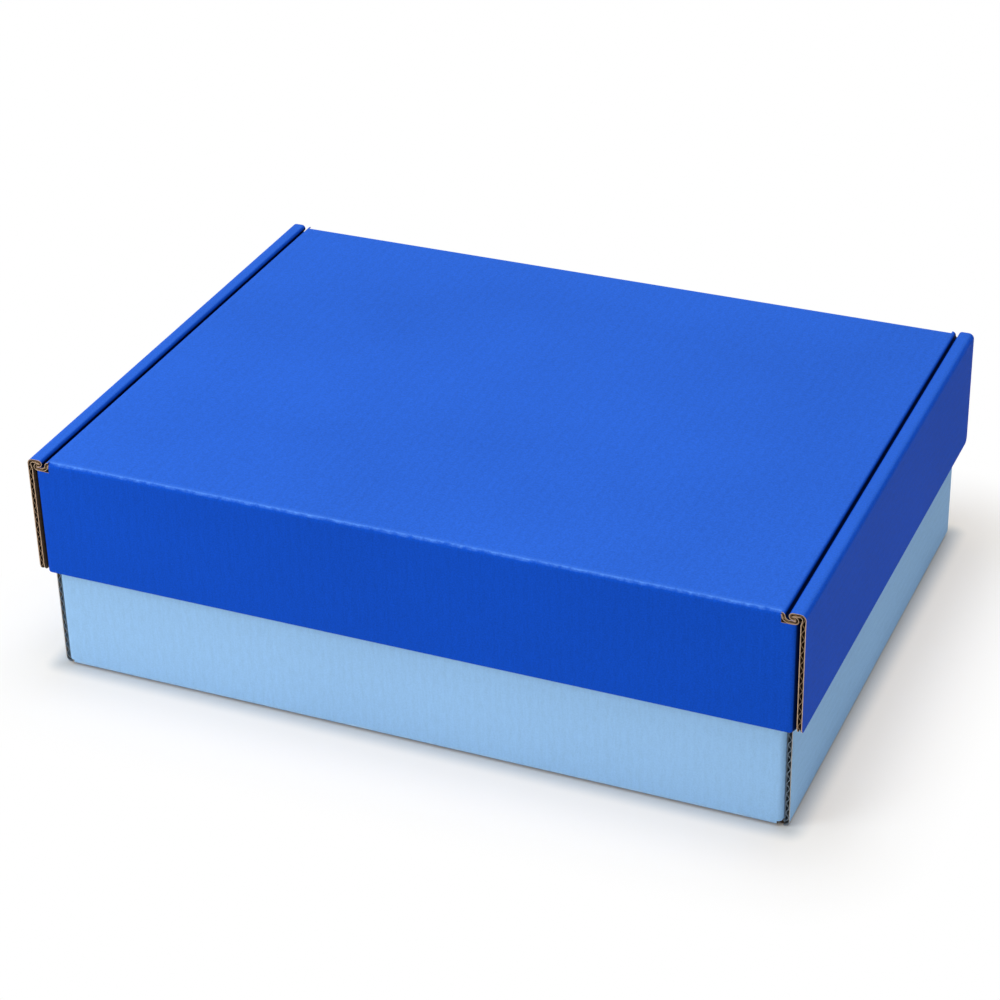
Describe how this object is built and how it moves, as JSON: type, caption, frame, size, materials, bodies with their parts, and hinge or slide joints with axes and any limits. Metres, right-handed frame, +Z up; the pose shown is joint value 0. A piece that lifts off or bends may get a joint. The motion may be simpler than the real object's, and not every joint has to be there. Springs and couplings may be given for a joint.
{
  "type": "two-piece postal box",
  "caption": "Closed postal box of corrugated board: a base tray with rolled side walls, and a lid with folded shoulders that slides down over it.",
  "frame": {"origin": "under the middle of the base tray, on the surface that it stands on", "axes": "+X to the right along the long side, +Y to the back, +Z up, the way the lid lifts off"},
  "size_m": [0.245, 0.179, 0.0743],
  "materials": {
    "lid_board": "matt print in blue on smooth corrugated board, brown kraft inside and at the cut edges",
    "base_board": "matt print in light blue on smooth corrugated board, brown kraft inside and at the cut edges"
  },
  "bodies": {
    "base": {"base_tray": "base_board"},
    "lid": {"lid": "lid_board"}
  },
  "joints": [
    {"name": "lid_lift", "type": "slide", "parent": "base", "child": "lid", "axis": [0, 0, 1], "range_m": [0, 0.06]}
  ]
}
